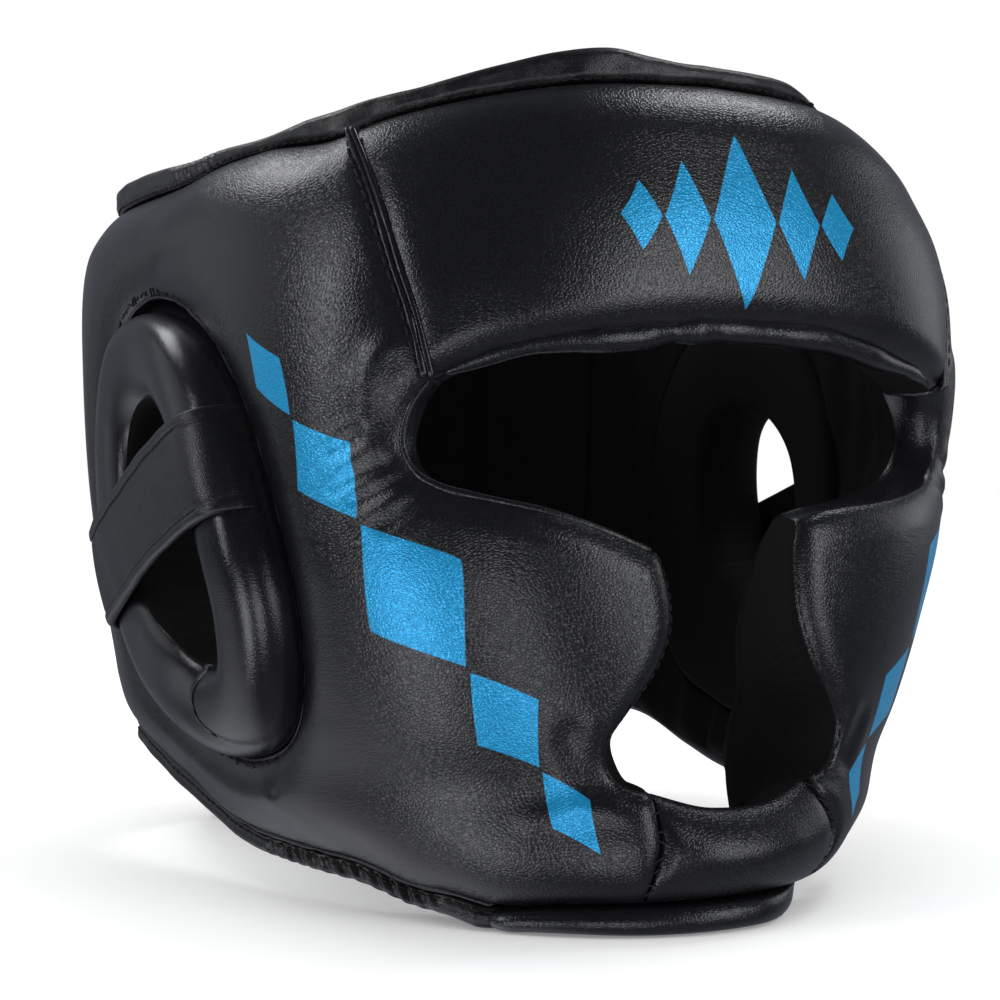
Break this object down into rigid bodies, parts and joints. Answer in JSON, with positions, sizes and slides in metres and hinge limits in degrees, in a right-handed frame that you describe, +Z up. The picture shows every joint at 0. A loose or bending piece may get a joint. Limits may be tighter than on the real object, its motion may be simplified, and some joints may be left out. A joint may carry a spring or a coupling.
{
  "type": "boxing head guard",
  "caption": "Padded full-face boxing head guard with forehead, cheek, chin and ear protection, open at the face, crown and neck.",
  "frame": {"origin": "on the floor under the middle of the whole guard", "axes": "+Z up, the face looks along -Y, +X is the wearer's left"},
  "size_m": [0.2404, 0.2536, 0.2192],
  "materials": {
    "panel_leather": "black fine-grained synthetic leather with rows of blue printed lozenges",
    "ring_leather": "black smooth synthetic leather",
    "strap_leather": "black folded synthetic leather strap with stitched edges",
    "binding": "black bound edge"
  },
  "bodies": {
    "root": {"forehead_pad": "panel_leather", "side_pad_left": "panel_leather", "side_pad_right": "panel_leather", "back_pad": "panel_leather", "chin_bar": "panel_leather", "chin_cup": "panel_leather", "ear_ring_left": "ring_leather", "ear_ring_right": "ring_leather", "ear_strap_left": "strap_leather", "ear_strap_right": "strap_leather", "top_rim": "binding", "bottom_rim": "binding"}
  },
  "joints": []
}
